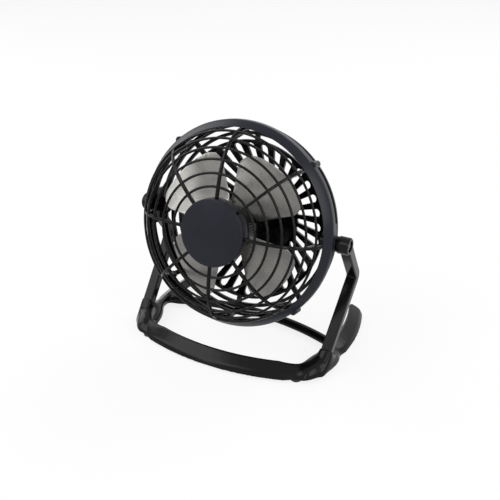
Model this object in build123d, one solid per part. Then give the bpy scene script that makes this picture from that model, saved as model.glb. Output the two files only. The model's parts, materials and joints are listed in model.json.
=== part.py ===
from build123d import *
from math import atan2, cos, degrees, pi, radians, sin, sqrt, tan
import os

# Desk fan: a round caged head that tilts between two boomerang arms on an open base.
# All sizes are in millimetres. The object's frame has +Z up and -Y to the front, where
# the air leaves, and its origin is on the floor, in the middle of the base.
# The head has a frame of its own: its origin is on the tilt axis, +Z points forward along
# the fan's shaft, and +Y points up. head_frame() carries it into the object's frame.

# ---- clearances and fits ----
running_gap = 0.06       # a pin in the hole it turns in, on the radius
press_gap = 0.01         # pieces pressed or screwed together, on the radius
slip_gap = 0.15          # moulded pieces that slide into each other, a side
face_gap = 0.05          # flat faces that turn on each other
moving_gap = 0.3         # pieces that pass each other without touching
beyond_all = 200.0       # reaches past every piece, for trimming

# ---- base bar: its section and the arcs of its centreline ----
bar_width = 10.5
bar_height = 9.0         # inner edge of the bar, above its underside
bar_flat = 1.0           # level strip along the inner edge
bar_shoulder = 3.7       # height of the outer edge
bar_draft = 2.0          # how far the outer face leans in at the shoulder
bar_toe = 0.5            # upright strip at the bottom of the outer face
bar_round = 0.6
front_radius = 163.75
front_sweep = 20.46
corner_radius = 13.0
corner_sweep = 49.85
side_radius = 125.0
side_sweep = 40.8

# ---- cross bar behind ----
cross_width = 8.0
cross_height = 4.6
cross_ridge = 2.4        # width of the ridge along its top
cross_setback = 74.5     # its middle, behind the front of the base
cross_radius = 166.0
cross_round = 0.5
cross_bury = 2.0         # its ends stop this far short of the side bars' middle

# ---- feet ----
foot_radius = 3.8
foot_height = 1.5        # below the bar
foot_seat = 1.0          # sunk into the bar
foot_edge = 0.5
front_foot_place = 0.1   # along the corner arc, from 0 to 1
rear_foot_place = 0.88   # along the side arc

# ---- tilt axis ----
head_clearance = 18.2    # floor to the bezel when the head is level
pivot_setback = 50.5     # behind the front of the base
head_tilt = 14.0         # how far the head looks up
knuckle_radius = 5.8
knuckle_edge = 0.8
arm_clearance = 0.8      # bezel's edge to the inner face of the knuckle
arm_width = 7.5

# ---- arms ----
arm_thickness = 6.4
elbow_back = 23.6        # behind the tilt axis
elbow_height = 55.0
elbow_round = 5.0
arm_foot_front = 17.0    # ahead of the tilt axis
arm_foot_height = 10.0
arm_foot_outset = 2.8    # outside the middle of the bar
arm_edge = 1.0
tenon_depth = 3.5        # the arm's end, past its foot point
collar_wall = 1.5
collar_length = 6.5      # above the foot point, along the arm
collar_run = 24.0        # length of its foot, front to back
collar_setback = 18.0    # middle of its foot, ahead of the tilt axis
collar_round = 4.0

# ---- screws ----
pivot_screw_radius = 1.5
pivot_screw_head_radius = 3.2
pivot_screw_head = 1.8
pivot_screw_length = 14.0
counterbore_radius = 3.8
counterbore_depth = 3.0
washer_thickness = 0.5
washer_radius = 3.6
pivot_boss_radius = 5.2
pivot_boss_length = 11.5
arm_screw_radius = 1.3
arm_screw_head_radius = 2.4
arm_screw_head = 1.4
arm_screw_length = 11.0
arm_screw_sink = 0.4     # its head above the underside
small_screw_radius = 1.0
small_screw_head_radius = 1.8
small_screw_head = 1.2
recess_depth = 0.6       # the driver's cross in every head
recess_width = 0.6

# ---- front grille ----
ring_plane = 11.5        # the bezel's outer edge, ahead of the tilt axis
bezel_over = 2.0         # beyond the housing's rim
bezel_face = 4.7         # width of its sloping front, seen from the front
bezel_rise = 5.5
bezel_wall = 1.8
bezel_skirt = 3.0        # the rim behind the outer edge
bezel_lip = 0.6
dome_rise = 24.67        # crown of the dome, ahead of its foot
dome_foot_gap = 0.3      # foot of the dome, ahead of the bezel's inner edge
dome_over = 0.3          # the dome's foot lies this far under the bezel
dome_flatness = 4.84     # the two exponents of the dome's curve
dome_shoulder = 1.38
ring_places = [0.45, 0.578, 0.709, 0.816, 0.899, 0.965]  # as shares of the dome's radius
ring_wire = 1.7          # thickness of a ring
spoke_count = 8
spoke_width = 2.0
spoke_depth = 2.4
spoke_points = 12        # steps along its crest, closer together near the dome's foot
spoke_sweep = 0.48       # of half a turn: how near the steps come to the dome's foot
web_run = 8.1            # a spoke deepens into its web this far inside the dome's foot
web_foot = 2.6           # depth of the web at its foot
cup_radius = 22.1        # the round boss in the middle of the grille
cup_front = 42.6
cup_depth = 7.0
cup_wall = 1.6
cap_thickness = 1.4
cap_bevel = 0.6
cap_skirt = 2.2
cap_skirt_wall = 1.2

# ---- rear housing ----
wall = 1.8
rim_step = 1.0           # the rim stands out from the side
rim_depth = 2.8          # length of the step that the grille's skirt covers
housing_radius = 67.0
side_back = -8.8         # the rear corner, in the head's frame
shoulder_round = 5.0
cone_inset = 13.0        # from the side to the top of the cone
cone_front = -10.5
disc_radius = 27.0
disc_back = -30.5
cone_round = 1.9
rib_width = 3.4
pivot_pad = 25.0         # width of the solid wall at each pivot
side_slot_front = 6.2
side_slot_back = -3.6
corner_slot_outset = 2.8     # each edge of the ring-shaped slots, in from the side
corner_slot_inset = 5.8
shoulder_slot_outset = 8.1
shoulder_slot_inset = 11.6
vane_count = 32
vane_slot_outset = 0.8   # from the top of the cone
vane_slot_inset = 1.6    # from the flat disc
vane_slot_wide = 2.55    # radius of the slot's outer end
vane_slot_narrow = 1.5   # radius of its inner end

# ---- lugs that hold the grille to the housing ----
lug_count = 4
lug_heading = 45.0
lug_inset = 0.7          # their middle, inside the bezel's edge
lug_radius = 2.4
lug_back = 2.6
lug_split = 6.5          # where the housing's lug meets the grille's
lug_front = 10.9
lug_floor = 0.8          # plastic left ahead of the screw's point

# ---- motor ----
can_radius = 12.0
can_front = 2.0
can_length = 26.0
can_wall = 0.8
can_boss_radius = 3.6
can_boss = 1.6
shaft_radius = 1.0
shaft_front = 22.0
shaft_back = -27.4
bushing_radius = 2.4
bushing_length = 3.2
bell_flange = 1.4
bell_plug = 2.0
bell_boss = 2.4
core_radius = 8.2
core_rim = 1.6
core_length = 11.0
core_centre = -9.0
core_poles = 3
core_gap = 2.2           # between the poles' shoes
core_neck = 3.6
core_hub = 2.4
winding_outer = 5.2
winding_width = 6.6
winding_end = 1.3        # past the core's ends
winding_lead = 0.3       # clear of the core's hub
commutator_radius = 2.4
commutator_length = 3.4
commutator_centre = -17.8
brush_width = 1.6
brush_thickness = 0.3
brush_length = 6.0
magnet_inner = 8.8
magnet_length = 17.0
magnet_span = 116.0
terminal_width = 2.0
terminal_thickness = 0.5
terminal_length = 5.0
terminal_offset = 7.0

# ---- motor pot of the housing ----
pot_wall = 1.8
pot_face = 2.0
pot_hole_gap = 0.6
motor_screw_circle = 7.2
motor_screw_length = 3.6
motor_screw_head = 1.0

# ---- rear cover ----
cover_radius = 24.0
cover_depth = 12.0
cover_wall = 1.6
cover_round = 3.5
cover_screw_count = 3
cover_screw_circle = 19.0
cover_post_radius = 2.7
cover_screw_length = 14.8
cover_screw_sink = 0.3
cover_boss = 4.0         # depth of the housing's boss for each screw
vent_count = 4
vent_width = 1.4
vent_pitch = 2.9
vent_first = 8.4
vent_taper = 0.09        # each slot outward is this share shorter than the longest
vent_length = 12.0
vent_height = 4.0        # middle of the vents, above the shaft

# ---- switch ----
switch_width = 8.4
switch_height = 13.0
switch_flange = 1.1      # wider than the body, a side
switch_flange_thickness = 1.0
switch_depth = 7.0
switch_above = 6.0       # above the shaft
switch_wall = 1.1
rocker_reach = 5.05      # from its axis to its ends
rocker_valley = 1.5      # face above the axis in the middle
rocker_peak = 2.6        # and near the ends
rocker_base = 1.8
rocker_stem = 1.6
rocker_stem_length = 2.0
rocker_axis = -0.6       # from the cover's back, outward
rocker_throw = 8.0       # each side of the middle
trunnion_radius = 0.8
trunnion_length = 0.7

# ---- cable gland ----
gland_below = 13.0       # under the shaft
gland_bore = 1.6
gland_neck = 2.8
gland_flange = 3.8
gland_flange_thickness = 1.3
gland_lip = 0.8
gland_edge = 0.5

# ---- fan ----
hub_radius = 16.5
hub_front = 25.0
hub_back = 6.0
hub_wall = 1.6
hub_edge = 2.0
hub_boss_radius = 3.4
hub_boss_back = 7.0
blade_count = 4
blade_radius = 51.5
blade_middle = 17.0      # the fan's middle plane
blade_heading = 52.0     # where the first blade points
blade_half_angle = 31.0
blade_corner = 9.0
blade_root_pitch = 40.0
blade_tip_pitch = 11.0
blade_camber = 0.05      # bow of the blade, as a share of its width
blade_thickness = 0.8    # pressed sheet
blade_bury = 1.1         # how far a blade's root runs into the hub's wall

# ---- derived places ----
half_bar = bar_width / 2
rim_radius = housing_radius + rim_step
bezel_radius = rim_radius + bezel_over
bezel_opening = bezel_radius - bezel_face
dome_radius = bezel_opening + dome_over
ring_radii = [place * dome_radius for place in ring_places]
web_start = dome_radius - web_run
lug_circle = bezel_radius - lug_inset
pivot_height = bezel_radius + head_clearance
arm_inner = bezel_radius + arm_clearance
cone_radius = housing_radius - cone_inset
corner_slot_outer = housing_radius - corner_slot_outset
corner_slot_inner = housing_radius - corner_slot_inset
shoulder_slot_outer = housing_radius - shoulder_slot_outset
shoulder_slot_inner = housing_radius - shoulder_slot_inset
vane_slot_outer = cone_radius - vane_slot_outset
vane_slot_inner = disc_radius + vane_slot_inset
arm_middle = arm_inner + arm_width / 2
arm_outer = arm_inner + arm_width
bezel_inner_edge = ring_plane + bezel_rise
bezel_slope = bezel_rise / (bezel_radius - bezel_opening)
bezel_drop = bezel_wall * sqrt(1 + bezel_slope**2)
dome_foot = bezel_inner_edge + dome_foot_gap
cup_back = cup_front - cup_depth
can_back = can_front - can_length
pot_inner = can_radius + slip_gap
pot_outer = pot_inner + pot_wall
cover_back = disc_back - cover_depth
skirt_inner = rim_radius + slip_gap
skirt_back = ring_plane - bezel_skirt
web_outer = housing_radius - wall - slip_gap


# Half of the base bar's centreline, right side: three tangent arcs from the middle of the
# front. Here the front face of the bar is on y = 0.
def centreline():
    front = JernArc((0, half_bar), (1, 0), front_radius, front_sweep)
    corner = JernArc(front @ 1, front % 1, corner_radius, corner_sweep)
    side = JernArc(corner @ 1, corner % 1, side_radius, side_sweep)
    return front, corner, side


# The rear end of the bar is round in plan; this is the middle of that round.
def tail_centre():
    side = centreline()[2]
    return side @ 1 - (side % 1) * half_bar


base_depth = tail_centre().Y + half_bar
base_front = -base_depth / 2
base_under = foot_height
pivot_y = base_front + pivot_setback


# The middle of the side bar, sideways, at a distance behind the base's front.
def bar_middle_at(setback):
    side = centreline()[2]
    centre = side.arc_center
    return centre.X + sqrt(side_radius**2 - (setback - centre.Y) ** 2)


arm_foot_x = bar_middle_at(pivot_setback - arm_foot_front) + arm_foot_outset


# ---------------------------------------------------------------- helpers

# Carries a piece from the head's frame to the object's frame.
def head_frame(piece):
    forward = (0, -cos(radians(head_tilt)), sin(radians(head_tilt)))
    plane = Plane(origin=(0, pivot_y, pivot_height), x_dir=(1, 0, 0), z_dir=forward)
    return plane.location * piece


# Turns a closed profile of (radius, height) points round the Z axis.
def turned(*points):
    return revolve(Plane.XZ * make_face(Polyline(*points, close=True)), Axis.Z)


# A straight cylinder along Z between two heights.
def rod(radius, low, high):
    return Pos(0, 0, low) * extrude(Circle(radius), high - low)


# A flat ring along Z between two heights.
def tube(outer, inner, low, high):
    return Pos(0, 0, low) * extrude(Circle(outer) - Circle(inner), high - low)


# A block given by its lowest and highest corners.
def block(low, high):
    size = [b - a for a, b in zip(low, high)]
    middle = [(a + b) / 2 for a, b in zip(low, high)]
    return Pos(*middle) * Box(*size)


# Copies a piece round the Z axis at equal steps.
def around(piece, count, first=0.0):
    return [Rot(0, 0, first + 360 * n / count) * piece for n in range(count)]


# Several separate solids kept together as one sub-part.
def group(pieces):
    solids = []
    for piece in pieces:
        solids += piece.solids()
    return Compound(children=solids)


# A right-hand piece and its mirror image.
def pair(piece):
    return group([piece, mirror(piece, Plane.YZ)])


# A screw along Z with the top of its head at 0 and its point looking down.
def screw(radius, head_radius, head, length):
    body = rod(head_radius, -head, 0)
    body = chamfer(body.edges().sort_by(Axis.Z)[-1], head / 4)
    body += rod(radius, -length, -head)
    cross = Rectangle(1.2 * head_radius, recess_width)
    cross += Rectangle(recess_width, 1.2 * head_radius)
    return body - Pos(0, 0, -recess_depth) * extrude(cross, 2 * recess_depth)


# ---------------------------------------------------------------- base

# The bar's section on its centreline, inner edge at +x, standing on y = 0.
def bar_section():
    outline = Polyline(
        (half_bar, 0),
        (half_bar, bar_height),
        (half_bar - bar_flat, bar_height),
        (-half_bar + bar_draft, bar_shoulder),
        (-half_bar, bar_toe),
        (-half_bar, 0),
        close=True,
    )
    face = make_face(outline)
    upper = [corner for corner in face.vertices() if corner.Y > 2 * bar_toe]
    return fillet(upper, bar_round)


# One side of the bar, from the middle of the front to the round rear end.
def half_base_bar():
    path = Pos(0, 0, base_under) * Wire([arc.edge() for arc in centreline()])
    start = Plane(origin=path @ 0, x_dir=(0, 1, 0), z_dir=path % 0)
    bar = sweep(start * bar_section(), path=path)
    end = tail_centre()
    heading = degrees(atan2((path % 1).Y, (path % 1).X))
    square = block((0, -bar_width, 0), (bar_width, bar_width, 2 * bar_height))
    beyond = square - rod(half_bar, -1, 3 * bar_height)
    return bar - Pos(end.X, end.Y, 0) * Rot(0, 0, heading) * beyond


# The thin bar that joins the two sides behind the head.
def cross_bar():
    reach = bar_middle_at(cross_setback) - cross_bury
    fall = cross_radius - sqrt(cross_radius**2 - reach**2)
    half_turn = degrees(atan2(reach, cross_radius - fall))
    start = (-reach, cross_setback - fall, base_under)
    along = (cos(radians(half_turn)), sin(radians(half_turn)), 0)
    path = JernArc(start, along, cross_radius, -2 * half_turn)
    half = cross_width / 2
    outline = Polyline(
        (-half, 0),
        (-half, cross_height / 2),
        (-cross_ridge / 2, cross_height),
        (cross_ridge / 2, cross_height),
        (half, cross_height / 2),
        (half, 0),
        close=True,
    )
    face = make_face(outline)
    upper = [corner for corner in face.vertices() if corner.Y > cross_round]
    face = fillet(upper, cross_round)
    plane = Plane(origin=path @ 0, x_dir=(-along[1], along[0], 0), z_dir=along)
    return sweep(plane * face, path=path)


# The middle of each right-hand foot pad, in plan.
def foot_places():
    front, corner, side = centreline()
    places = [corner @ front_foot_place, side @ rear_foot_place]
    return [Pos(place.X, place.Y + base_front, 0) for place in places]


# The direction in which the arm's lower leg climbs: X is back and Y is up.
def leg_direction():
    return Vector(elbow_back + arm_foot_front, elbow_height - arm_foot_height).normalized()


# Leans a right-hand piece inward below the knuckle, so that the arm reaches the bar.
def leaned(piece):
    turn_height = pivot_height - knuckle_radius
    lean = degrees(atan2(arm_middle - arm_foot_x, turn_height - arm_foot_height))
    return piece.rotate(Axis((arm_middle, pivot_y, turn_height), (0, 1, 0)), lean)


# The frame at the arm's foot point: +Z climbs the leg and +X points outward.
def leg_frame():
    rise = leg_direction()
    origin = (arm_middle, pivot_y - arm_foot_front, arm_foot_height)
    return Plane(origin=origin, x_dir=(1, 0, 0), z_dir=(0, rise.X, rise.Y)).location


# The socket's outside: it swells out of the bar and closes round the arm's lower leg.
def collar():
    side = arm_width + 2 * collar_wall
    deep = arm_thickness + 2 * collar_wall
    mouth = Pos(0, 0, collar_length) * RectangleRounded(side, deep, arm_edge + collar_wall / 2)
    mouth = leaned(leg_frame() * mouth)
    root = RectangleRounded(side, collar_run, collar_round)
    root = Pos(arm_foot_x, pivot_y - collar_setback, base_under) * root
    return loft([root.face(), mouth.face()], ruled=True)


# What is cut out of the collar for the arm's foot.
def socket():
    side = arm_width / 2 + slip_gap
    deep = arm_thickness / 2 + slip_gap
    room = block((-side, -deep, -tenon_depth), (side, deep, 2 * collar_run))
    return leaned(leg_frame() * room)


# The arm's screw stands upright under the foot point.
def arm_screw_place():
    return Pos(arm_foot_x, pivot_y - arm_foot_front, base_under + arm_screw_sink)


def base_loop():
    bar = Pos(0, base_front, 0) * half_base_bar()
    body = bar + mirror(bar, Plane.YZ) + Pos(0, base_front, 0) * cross_bar()
    body += [collar(), mirror(collar(), Plane.YZ)]
    head_room = rod(arm_screw_head_radius + slip_gap, -2 * arm_screw_head, arm_screw_head)
    shank_room = rod(arm_screw_radius + slip_gap, 0, arm_foot_height)
    recess = rod(foot_radius + press_gap, 0, foot_height + foot_seat)
    cuts = [socket(), arm_screw_place() * head_room, arm_screw_place() * shank_room]
    cuts += [place * recess for place in foot_places()]
    body -= cuts
    body -= [mirror(cut, Plane.YZ) for cut in cuts]
    return body


def foot_pads():
    pad = rod(foot_radius, 0, foot_height + foot_seat)
    pad = fillet(pad.edges().sort_by(Axis.Z)[0], foot_edge)
    pads = [place * pad for place in foot_places()]
    return group(pads + [mirror(pad, Plane.YZ) for pad in pads])


# ---------------------------------------------------------------- arms and pivots

# A frame on the tilt axis, a distance to the right of the middle, with +Z outward.
def pivot_side(distance):
    return Pos(distance, pivot_y, pivot_height) * Rot(0, 90, 0)


def arm_right():
    leg = leg_direction()
    foot = (-arm_foot_front - leg.X * tenon_depth, arm_foot_height - leg.Y * tenon_depth)
    bend = FilletPolyline(
        (0, pivot_height), (elbow_back, elbow_height), foot, radius=elbow_round
    )
    plane = Plane(origin=(arm_middle, pivot_y, 0), x_dir=(0, 1, 0), z_dir=(1, 0, 0))
    blade = extrude(plane * trace(bend, arm_thickness), arm_width / 2, both=True)
    blade = fillet(blade.faces().filter_by(Axis.X).edges(), arm_edge)
    blade = leaned(blade)
    blade &= block((0, -beyond_all, 0), (arm_outer, beyond_all, beyond_all))
    head_side = block(
        (0, -beyond_all, pivot_height - knuckle_radius), (arm_inner, beyond_all, beyond_all)
    )
    blade -= head_side
    knuckle = rod(knuckle_radius, 0, arm_width)
    knuckle = chamfer(knuckle.edges().sort_by(Axis.Z)[-1], knuckle_edge)
    body = blade + pivot_side(arm_inner) * knuckle
    body -= pivot_side(arm_inner) * rod(pivot_screw_radius + running_gap, -1, arm_width)
    sink = rod(counterbore_radius, arm_width - counterbore_depth, 2 * arm_width)
    body -= pivot_side(arm_inner) * sink
    thread = rod(arm_screw_radius + press_gap, 0, arm_screw_length + slip_gap)
    return body - arm_screw_place() * thread


def arm_left():
    return mirror(arm_right(), Plane.YZ)


def arm_screws():
    piece = screw(arm_screw_radius, arm_screw_head_radius, arm_screw_head, arm_screw_length)
    return pair(arm_screw_place() * Rot(180, 0, 0) * piece)


def pivot_screws():
    piece = screw(
        pivot_screw_radius,
        pivot_screw_head_radius,
        pivot_screw_head,
        pivot_screw_length,
    )
    seat = arm_outer - counterbore_depth + face_gap
    return pair(pivot_side(seat + pivot_screw_head) * piece)


def pivot_washers():
    ring = tube(washer_radius, pivot_screw_radius + press_gap, 0, washer_thickness)
    return pair(pivot_side(arm_inner - face_gap - washer_thickness) * ring)


# ---------------------------------------------------------------- front grille

# Height of the dome's outer surface at a radius.
def dome_height(radius):
    share = 1 - (radius / dome_radius) ** dome_flatness
    return dome_foot + dome_rise * share ** (1 / dome_shoulder)


# Height of the bezel's outer cone at a radius.
def bezel_height(radius):
    return ring_plane + bezel_slope * (bezel_radius - radius)


rim_front = bezel_height(rim_radius) - bezel_drop - slip_gap


# Everything inside the bezel's walls: the housing's rim stands here.
def bezel_inside():
    return turned(
        (0, lug_back),
        (skirt_inner, lug_back),
        (skirt_inner, bezel_height(skirt_inner) - bezel_drop),
        (bezel_opening, bezel_inner_edge - bezel_drop),
        (bezel_opening, bezel_inner_edge + 1),
        (0, bezel_inner_edge + 1),
    )


def bezel():
    outline = Polyline(
        (bezel_radius, skirt_back),
        (bezel_radius, ring_plane),
        (bezel_opening, bezel_inner_edge),
        (bezel_opening - 1, bezel_inner_edge),
        (bezel_opening - 1, skirt_back),
        close=True,
    )
    body = revolve(Plane.XZ * make_face(outline), Axis.Z)
    lug = Pos(lug_circle, 0, 0) * rod(lug_radius, lug_split, lug_front)
    body += around(lug, lug_count, lug_heading)
    body -= bezel_inside()
    mouth = body.edges().filter_by(GeomType.CIRCLE).group_by(Axis.Z)[-1]
    body = fillet(mouth, bezel_lip)
    hole = Pos(lug_circle, 0, 0) * rod(small_screw_radius + press_gap, 0, lug_front - lug_floor)
    return body - around(hole, lug_count, lug_heading)


# A ring of the grille: a wire that lies just under the dome.
def ring(radius):
    middle = Pos(radius, dome_height(radius) - ring_wire / 2)
    wire = middle * Rot(0, 0, 22.5) * RegularPolygon(ring_wire / 2, 8)
    return revolve(Plane.XZ * wire, Axis.Z)


# One spoke: a rib that follows the dome and ends in a deep web behind the bezel.
def spoke():
    first = cup_radius - cup_wall / 2
    span = dome_radius - first
    turns = [spoke_sweep * pi * n / spoke_points for n in range(spoke_points + 1)]
    radii = [first + span * sin(turn) for turn in turns]
    crest = [(radius, dome_height(radius)) for radius in radii]
    under = [(radius, height - spoke_depth) for radius, height in crest if radius < web_start]
    outer = Spline(*crest)
    inner = Spline(*under)
    web = Polyline(
        outer @ 1,
        (web_outer, bezel_height(web_outer) - bezel_drop / 2),
        (web_outer, skirt_back),
        (web_outer - web_foot, skirt_back),
        inner @ 1,
    )
    close = Line(inner @ 0, outer @ 0)
    face = make_face(outer.edges() + web.edges() + inner.edges() + close.edges())
    return extrude(Plane.XZ * face, spoke_width / 2, both=True)


# The round boss in the middle, which the cap closes.
def cup():
    body = rod(cup_radius, cup_back, cup_front)
    body = fillet(body.edges().sort_by(Axis.Z)[0], cup_wall / 2)
    return body - rod(cup_radius - cup_wall, cup_back + cup_wall, cup_front + 1)


def front_grille():
    body = cup() + around(spoke(), spoke_count)
    body += bezel()
    for radius in ring_radii:
        body += ring(radius)
    return body


def hub_cap():
    disc = rod(cup_radius, cup_front, cup_front + cap_thickness)
    disc = chamfer(disc.edges().sort_by(Axis.Z)[-1], cap_bevel)
    outer = cup_radius - cup_wall - slip_gap
    return disc + tube(outer, outer - cap_skirt_wall, cup_front - cap_skirt, cup_front)


def grille_screws():
    reach = lug_front - lug_floor - slip_gap - lug_back
    piece = screw(
        small_screw_radius,
        small_screw_head_radius,
        small_screw_head,
        reach + small_screw_head,
    )
    place = Pos(lug_circle, 0, lug_back - small_screw_head) * Rot(180, 0, 0)
    return group(around(place * piece, lug_count, lug_heading))


# ---------------------------------------------------------------- rear housing

# The thin wall: rim, side, rounded shoulder, cone and the flat disc round the motor.
def shell():
    rim_back = rim_front - rim_depth
    step = rim_radius - housing_radius
    line = FilletPolyline(
        (rim_radius, rim_front),
        (rim_radius, rim_back),
        (housing_radius, rim_back - step),
        (housing_radius, side_back),
        (cone_radius, cone_front),
        (disc_radius, disc_back),
        (pot_inner, disc_back),
        radius=[0, 0, shoulder_round, cone_round, cone_round],
    )
    profile = make_face(offset(line, wall, side=Side.RIGHT, kind=Kind.INTERSECTION).edges())
    return revolve(Plane.XZ * profile, Axis.Z)


# Solid strips along the eight ribs, which break the ring-shaped openings.
def rib_strips():
    half = rib_width / 2
    strip = block((disc_radius, -half, disc_back), (2 * rim_radius, half, rim_radius))
    return around(strip, spoke_count)


def side_slots():
    band = tube(rim_radius + 5, cone_radius, side_slot_back, side_slot_front)
    half = pivot_pad / 2
    pads = block((-2 * rim_radius, -half, disc_back), (2 * rim_radius, half, rim_radius))
    return band - rib_strips() - pads


def shoulder_slots():
    high = side_slot_back - wall / 2
    outer = tube(corner_slot_outer, corner_slot_inner, disc_back, high)
    inner = tube(shoulder_slot_outer, shoulder_slot_inner, disc_back, high)
    return (outer + inner) - rib_strips()


# One radial opening between two vanes: round ends, wider outside.
def vane_slot():
    inner = Pos(vane_slot_inner + vane_slot_narrow, 0) * Circle(vane_slot_narrow)
    outer = Pos(vane_slot_outer - vane_slot_wide, 0) * Circle(vane_slot_wide)
    outline = make_hull(inner.edges() + outer.edges())
    return Pos(0, 0, disc_back - 1) * extrude(outline, cone_front - disc_back + 5)


def motor_pot():
    front = can_front + pot_face
    body = tube(pot_outer, pot_inner, disc_back, can_front + pot_face / 2)
    face = tube(pot_outer, can_boss_radius + pot_hole_gap, can_front, front)
    face = fillet(face.edges().group_by(Axis.Z)[-1].sort_by(SortBy.LENGTH)[-1], pot_wall / 3)
    hole = rod(small_screw_radius + slip_gap, can_front - 1, front + 1)
    holes = [Pos(side * motor_screw_circle, 0, 0) * hole for side in (-1, 1)]
    return (body + face) - holes


# The round boss at each end of the tilt axis, along the head's own X axis.
def pivot_boss():
    end = arm_inner - 2 * face_gap - washer_thickness
    boss = Rot(0, 90, 0) * rod(pivot_boss_radius, end - pivot_boss_length, end)
    return boss


def pivot_thread():
    seat = arm_outer - counterbore_depth + face_gap + pivot_screw_head
    tip = seat - pivot_screw_length - slip_gap
    return Rot(0, 90, 0) * rod(pivot_screw_radius + press_gap, tip, arm_outer)


def cover_bosses():
    boss = Pos(0, cover_screw_circle, 0) * rod(
        cover_post_radius, disc_back + wall / 2, disc_back + cover_boss
    )
    return around(boss, cover_screw_count)


def cover_screw_holes():
    top = cover_back + cover_screw_sink + cover_screw_length + slip_gap
    hole = rod(small_screw_radius + press_gap, disc_back - 1, top)
    return around(Pos(0, cover_screw_circle, 0) * hole, cover_screw_count)


def rear_housing():
    body = shell() - side_slots() - shoulder_slots()
    body -= around(vane_slot(), vane_count, 180 / vane_count)
    body += motor_pot()
    body += cover_bosses()
    inside = housing_radius - wall / 2
    lug = Pos(lug_circle, 0, 0) * rod(lug_radius, lug_back, lug_split)
    lug += block((inside, -lug_radius, lug_back), (lug_circle, lug_radius, lug_split))
    body += around(lug, lug_count, lug_heading)
    body += [pivot_boss(), mirror(pivot_boss(), Plane.YZ)]
    hole = Pos(lug_circle, 0, 0) * rod(small_screw_radius + slip_gap, 0, lug_split + 1)
    body -= around(hole, lug_count, lug_heading)
    body -= [pivot_thread(), mirror(pivot_thread(), Plane.YZ)]
    return body - cover_screw_holes()


# ---------------------------------------------------------------- motor

def motor_can():
    inner = can_radius - can_wall
    body = rod(can_radius, can_back, can_front)
    body = fillet(body.edges().sort_by(Axis.Z)[-1], can_wall / 2)
    body -= rod(inner, can_back - 1, can_front - can_wall)
    nose = can_front + can_boss
    body += rod(can_boss_radius, nose - bushing_length - can_wall, nose)
    body -= rod(bushing_radius + press_gap, nose - bushing_length, nose + 1)
    body -= rod(shaft_radius + moving_gap, can_back, nose)
    hole = rod(small_screw_radius + press_gap, 0, nose)
    return body - [Pos(side * motor_screw_circle, 0, 0) * hole for side in (-1, 1)]


def motor_magnets():
    outer = can_radius - can_wall - press_gap
    middle = core_centre
    ring_low = middle - magnet_length / 2
    body = tube(outer, magnet_inner, ring_low, ring_low + magnet_length)
    gap = (180 - magnet_span) / 2
    reach = 2 * can_radius
    wedge = make_face(
        Polyline(
            (0, 0),
            (reach, reach * tan(radians(gap))),
            (reach, -reach * tan(radians(gap))),
            close=True,
        )
    )
    wedge = Pos(0, 0, ring_low - 1) * extrude(wedge, magnet_length + 2)
    return group([body - around(wedge, 2)])


def motor_bushings():
    nose = can_front + can_boss
    ring = tube(bushing_radius, shaft_radius + running_gap, 0, bushing_length)
    rear = can_back - bell_flange - bell_boss
    return group([Pos(0, 0, nose - bushing_length) * ring, Pos(0, 0, rear) * ring])


def motor_end_bell():
    body = rod(can_radius, can_back - bell_flange, can_back)
    body += rod(can_radius - can_wall - press_gap, can_back, can_back + bell_plug)
    rear = can_back - bell_flange - bell_boss
    body += rod(can_boss_radius, rear, can_back)
    body -= rod(bushing_radius + press_gap, rear - 1, rear + bushing_length)
    body -= rod(shaft_radius + moving_gap, rear, can_front)
    for side in (-1, 1):
        body -= terminal(side, press_gap)
        body -= brush(side, press_gap)
    return body


# A flat blade that carries the current through the end bell.
def terminal(side, margin):
    half = terminal_width / 2 + margin
    thick = terminal_thickness / 2 + margin
    x = side * terminal_offset
    low = can_back + bell_plug - terminal_length
    return block((x - thick, -half, low), (x + thick, half, can_back + bell_plug + margin))


def motor_terminals():
    return group([terminal(side, 0) for side in (-1, 1)])


# A spring strip that stands in the end bell and reaches the commutator.
def brush(side, margin):
    near = commutator_radius + moving_gap
    far = near + brush_thickness
    x = sorted((side * near, side * far))
    half = brush_width / 2 + margin
    low = can_back + bell_plug / 2
    high = low + brush_length
    return block((x[0] - margin, -half, low - margin), (x[1] + margin, half, high))


def motor_brushes():
    return group([brush(side, 0) for side in (-1, 1)])


def motor_screws():
    piece = screw(
        small_screw_radius, small_screw_head_radius, motor_screw_head, motor_screw_length + 1
    )
    top = can_front + pot_face + motor_screw_head
    return group([Pos(side * motor_screw_circle, 0, top) * piece for side in (-1, 1)])


def motor_shaft():
    body = rod(shaft_radius, shaft_back, shaft_front)
    return chamfer(body.edges().filter_by(GeomType.CIRCLE), shaft_radius / 4)


def armature_core():
    low = core_centre - core_length / 2
    high = core_centre + core_length / 2
    body = tube(core_radius, core_radius - core_rim, low, high)
    gap = block((0, -core_gap / 2, low - 1), (2 * core_radius, core_gap / 2, high + 1))
    body -= around(gap, core_poles, 180 / core_poles)
    neck_end = core_radius - core_rim / 2
    neck = block((0, -core_neck / 2, low), (neck_end, core_neck / 2, high))
    body += around(neck, core_poles)
    body += rod(core_hub, low, high)
    return body - rod(shaft_radius + press_gap, low - 1, high + 1)


def armature_windings():
    low = core_centre - core_length / 2
    high = core_centre + core_length / 2
    near = core_hub + winding_lead
    half = winding_width / 2
    coil = block((near, -half, low - winding_end), (winding_outer, half, high + winding_end))
    coil = fillet(coil.edges().filter_by(Axis.X), winding_end / 2)
    room = core_neck / 2 + press_gap
    coil -= block((0, -room, low - press_gap), (core_radius, room, high + press_gap))
    return group(around(coil, core_poles))


def commutator():
    low = commutator_centre - commutator_length / 2
    high = commutator_centre + commutator_length / 2
    return tube(commutator_radius, shaft_radius + press_gap, low, high)


# ---------------------------------------------------------------- rear cover and switch

# A frame on the cover's back, a distance above the shaft, with +Z outward.
def back_frame(height):
    return Pos(0, height, cover_back) * Rot(180, 0, 0)


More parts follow.
